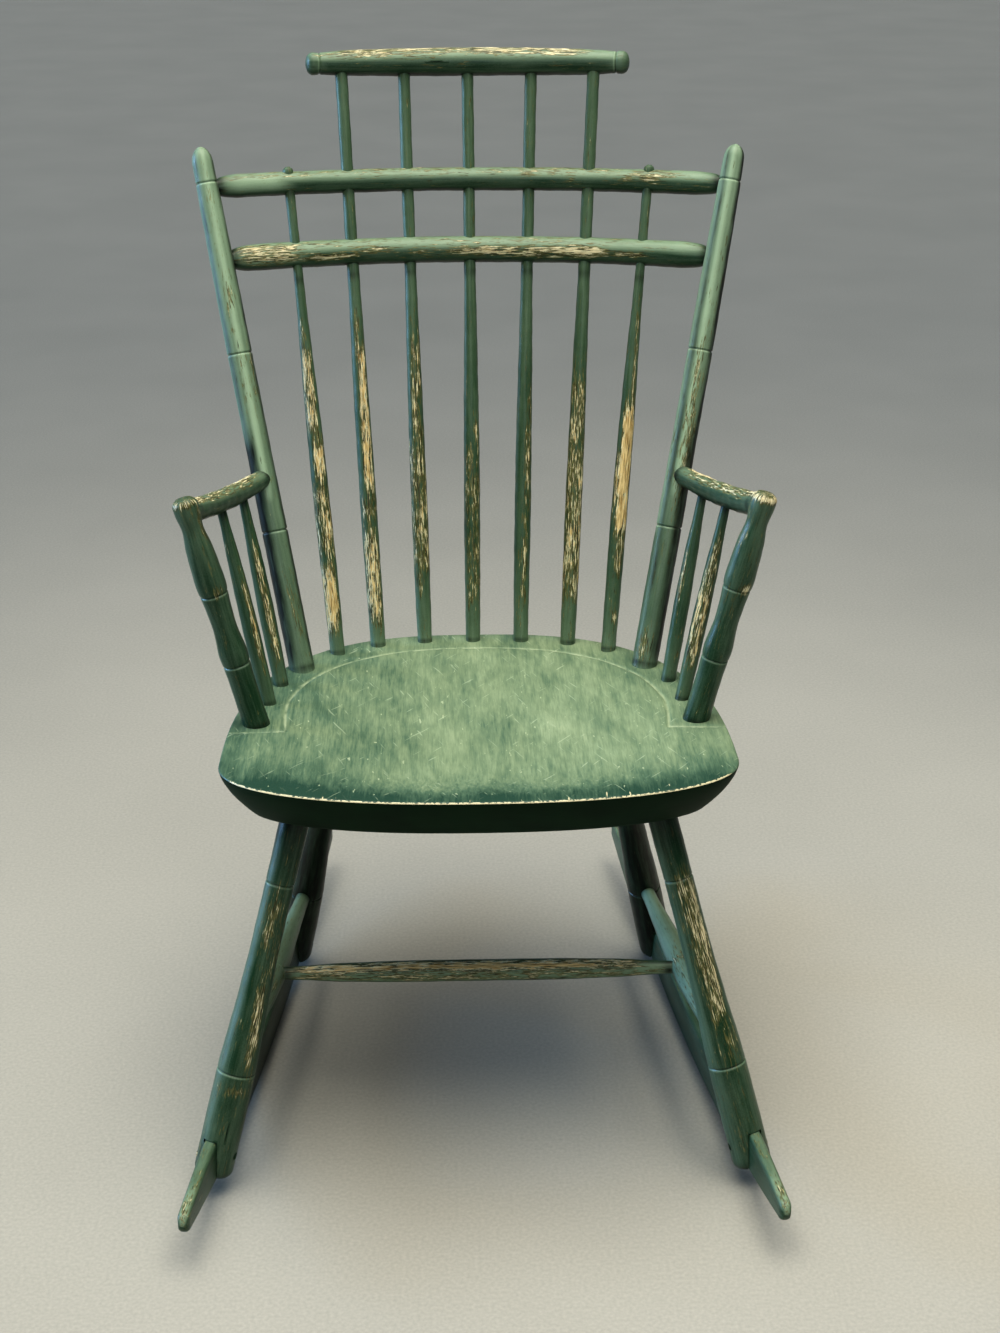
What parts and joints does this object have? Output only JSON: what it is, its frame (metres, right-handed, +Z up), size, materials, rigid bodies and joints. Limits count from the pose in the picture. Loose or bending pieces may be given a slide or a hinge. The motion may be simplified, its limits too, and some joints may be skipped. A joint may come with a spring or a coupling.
{
  "type": "rocking armchair",
  "caption": "Spindle-back rocking armchair: saddled plank seat, bowed back rails, comb crest, stick arms and splayed ring-turned legs slotted over curved rockers.",
  "frame": {"origin": "on the floor, under the middle of the two rockers", "axes": "+Z up, -Y the way the sitter faces, +X to the right for someone looking at the chair from the front"},
  "size_m": [0.561, 0.7298, 0.9866],
  "materials": {
    "green_paint": "old dark green paint on turned wood, satin, worn at the edges",
    "seat_paint": "chalky light green paint on a plank, rubbed and streaked",
    "worn_paint": "dark green paint rubbed through to ochre wood",
    "bare_wood": "bare hardwood end grain, dry"
  },
  "bodies": {
    "root": {"arm_left": "green_paint", "arm_post_left": "green_paint", "arm_post_right": "green_paint", "arm_right": "green_paint", "arm_spindle_front_left": "worn_paint", "arm_spindle_front_right": "worn_paint", "arm_spindle_rear_left": "worn_paint", "arm_spindle_rear_right": "worn_paint", "back_post_left": "green_paint", "back_post_right": "green_paint", "back_spindle_1": "worn_paint", "back_spindle_2": "worn_paint", "back_spindle_3": "worn_paint", "back_spindle_4": "worn_paint", "back_spindle_5": "worn_paint", "back_spindle_6": "worn_paint", "back_spindle_7": "worn_paint", "crest_rail": "green_paint", "cross_stretcher": "worn_paint", "front_leg_left": "green_paint", "front_leg_right": "green_paint", "lower_back_rail": "green_paint", "rear_leg_left": "green_paint", "rear_leg_right": "green_paint", "rocker_left": "green_paint", "rocker_pin_front_left": "bare_wood", "rocker_pin_front_right": "bare_wood", "rocker_pin_rear_left": "bare_wood", "rocker_pin_rear_right": "bare_wood", "rocker_right": "green_paint", "seat": "seat_paint", "side_stretcher_left": "green_paint", "side_stretcher_right": "green_paint", "upper_back_rail": "green_paint"}
  },
  "joints": []
}
